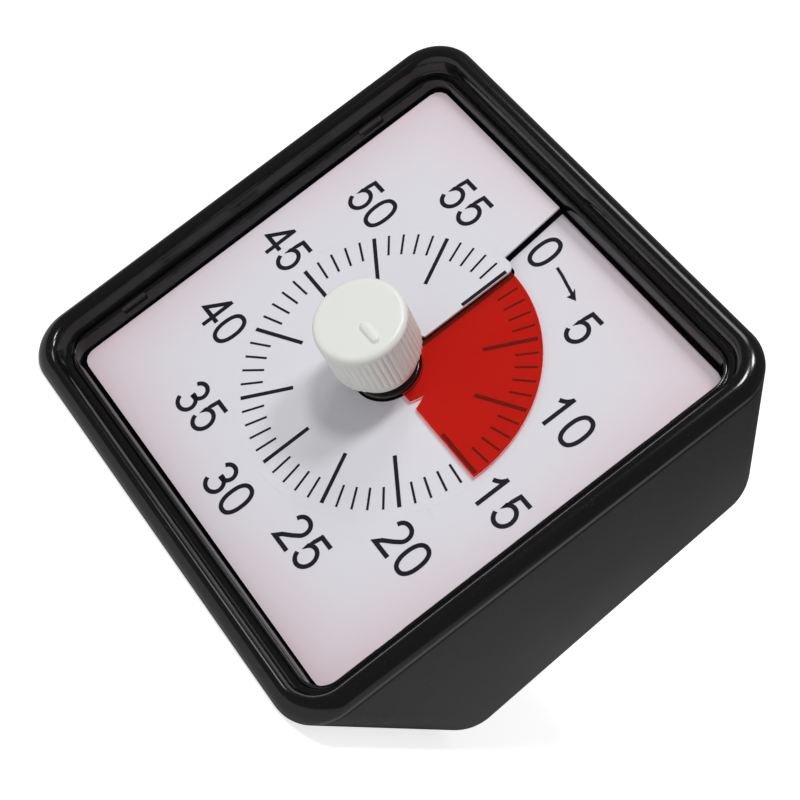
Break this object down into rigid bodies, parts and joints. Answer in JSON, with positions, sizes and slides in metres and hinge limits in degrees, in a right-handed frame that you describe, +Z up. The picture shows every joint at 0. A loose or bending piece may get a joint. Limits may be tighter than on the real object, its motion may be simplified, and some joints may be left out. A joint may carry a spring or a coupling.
{
  "type": "kitchen timer",
  "caption": "Square countdown kitchen timer leaning back on its sloped base, with a fluted white knob and a red film that shows the minutes left on a slit dial.",
  "frame": {"origin": "centre of the bounding box's footprint, at the height of the sloped underside the timer stands on", "axes": "+Z up; +X to the right seen from the front; the dial looks towards -Y and leans back 24 degrees"},
  "size_m": [0.08, 0.0548, 0.0734],
  "materials": {
    "gloss_black": "satin gloss moulded ABS",
    "case_black": "fine spark-eroded matt",
    "dial_white": "semi-matt printed sheet",
    "film_red": "smooth translucent film",
    "collar_black": "gloss",
    "knob_white": "satin moulded",
    "steel": "zinc or nickel plated",
    "movement_black": "moulded",
    "wheel_ivory": "moulded acetal",
    "magnet_grey": "sintered",
    "coil_copper": "enamelled copper winding",
    "board_green": "solder mask",
    "cell_jacket": "printed film over a steel can",
    "piezo_brass": "rolled brass with a ceramic disc",
    "lever_grey": "moulded"
  },
  "bodies": {
    "case": {"front_bezel": "gloss_black", "rear_housing": "case_black", "dial_sheet": "dial_white", "dial_carrier": "case_black", "movement_case_front": "movement_black", "movement_case_rear": "movement_black", "stator": "steel", "coil": "coil_copper", "circuit_board": "board_green", "quartz_crystal": "steel", "battery_cell": "cell_jacket", "battery_spring": "steel", "battery_contact": "steel", "piezo_disc": "piezo_brass", "switch_body": "movement_black", "case_screw_1": "steel", "case_screw_2": "steel", "case_screw_3": "steel", "case_screw_4": "steel", "movement_screw_1": "steel", "movement_screw_2": "steel", "movement_screw_3": "steel", "movement_screw_4": "steel"},
    "knob_set": {"knob": "knob_white", "spindle": "steel", "centre_wheel": "wheel_ivory"},
    "film_set": {"red_film": "film_red", "film_collar": "collar_black"},
    "third_wheel_set": {"third_wheel": "wheel_ivory"},
    "rotor_set": {"rotor": "magnet_grey"},
    "door": {"battery_door": "case_black"},
    "lever": {"switch_lever": "lever_grey"}
  },
  "joints": [
    {"name": "knob_turn", "type": "hinge", "parent": "case", "child": "knob_set", "pos_m": [0, -0.00703, 0.03536], "axis": [0, 0.9135, -0.4067], "range_deg": [-90, 270]},
    {"name": "film_lift", "type": "slide", "parent": "knob_set", "child": "film_set", "axis": [0, -0.9135, 0.4067], "range_m": [-0.00036, 0.00109]},
    {"name": "third_wheel_turn", "type": "hinge", "parent": "case", "child": "third_wheel_set", "pos_m": [-0.00926, -0.00255, 0.04544], "axis": [0, 0.9135, -0.4067], "range_deg": [-1350.5, 450.5]},
    {"name": "rotor_turn", "type": "hinge", "parent": "case", "child": "rotor_set", "pos_m": [0.00256, -0.0017, 0.04734], "axis": [0, 0.9135, -0.4067], "range_deg": [-1801, 5401]},
    {"name": "door_pull", "type": "slide", "parent": "case", "child": "door", "axis": [0, 0.9603, -0.279], "range_m": [0, 0.012]},
    {"name": "switch_slide", "type": "slide", "parent": "case", "child": "lever", "axis": [1, 0, 0], "range_m": [0, 0.0036]}
  ],
  "couplings": [
    {"joint": "knob_turn", "follows": "film_lift", "rad_per_m": 4333.2},
    {"joint": "third_wheel_turn", "follows": "film_lift", "rad_per_m": -21666},
    {"joint": "rotor_turn", "follows": "film_lift", "rad_per_m": 86665}
  ]
}
